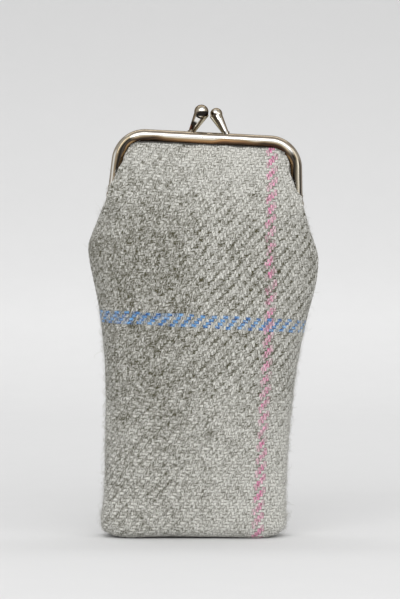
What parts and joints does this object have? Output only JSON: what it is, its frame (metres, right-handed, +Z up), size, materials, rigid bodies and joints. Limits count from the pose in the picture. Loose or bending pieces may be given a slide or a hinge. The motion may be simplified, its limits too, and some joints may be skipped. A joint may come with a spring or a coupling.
{
  "type": "soft pouch glasses case",
  "caption": "Soft padded tweed glasses pouch that stands upright, with a hinged metal clasp frame along its mouth and crossed ball-tipped closing fingers.",
  "frame": {"origin": "middle of the flat base the pouch stands on", "axes": "+Z up, -Y the front face with the pouch standing, +X to the right; the frame's top leans to +X"},
  "size_m": [0.1006, 0.0382, 0.1897],
  "materials": {
    "tweed": "woven wool tweed, fuzzy",
    "wadding": "soft polyester wadding",
    "lining": "plain-woven cotton",
    "thread": "spun sewing thread",
    "frame_metal": "polished nickel plate",
    "clasp_metal": "polished nickel plate",
    "rivet_metal": "polished nickel plate",
    "paper_cord": "twisted paper cord"
  },
  "bodies": {
    "pouch": {"front_tweed": "tweed", "back_tweed": "tweed", "front_tweed_fold": "tweed", "back_tweed_fold": "tweed", "front_wadding": "wadding", "back_wadding": "wadding", "front_lining": "lining", "back_lining": "lining", "side_seam_threads": "thread", "base_seam_thread": "thread"},
    "front_frame": {"front_channel": "frame_metal", "front_clasp_finger": "clasp_metal", "front_paper_cord": "paper_cord", "front_tweed_mouth": "tweed", "front_wadding_mouth": "wadding", "front_lining_mouth": "lining"},
    "back_frame": {"back_channel": "frame_metal", "back_clasp_finger": "clasp_metal", "back_paper_cord": "paper_cord", "back_tweed_mouth": "tweed", "back_wadding_mouth": "wadding", "back_lining_mouth": "lining", "left_hinge_rivet": "rivet_metal", "right_hinge_rivet": "rivet_metal"}
  },
  "joints": [
    {"name": "front_frame_open", "type": "hinge", "parent": "pouch", "child": "front_frame", "pos_m": [0.006, 0, 0.148], "axis": [0.9987, 0, -0.0506], "range_deg": [0, 45], "deforming": ["front_tweed_fold"]},
    {"name": "back_frame_open", "type": "hinge", "parent": "pouch", "child": "back_frame", "pos_m": [0.006, 0, 0.148], "axis": [0.9987, 0, -0.0506], "range_deg": [-45, 0], "deforming": ["back_tweed_fold"]}
  ],
  "couplings": [
    {"joint": "back_frame_open", "follows": "front_frame_open", "ratio": -1}
  ]
}
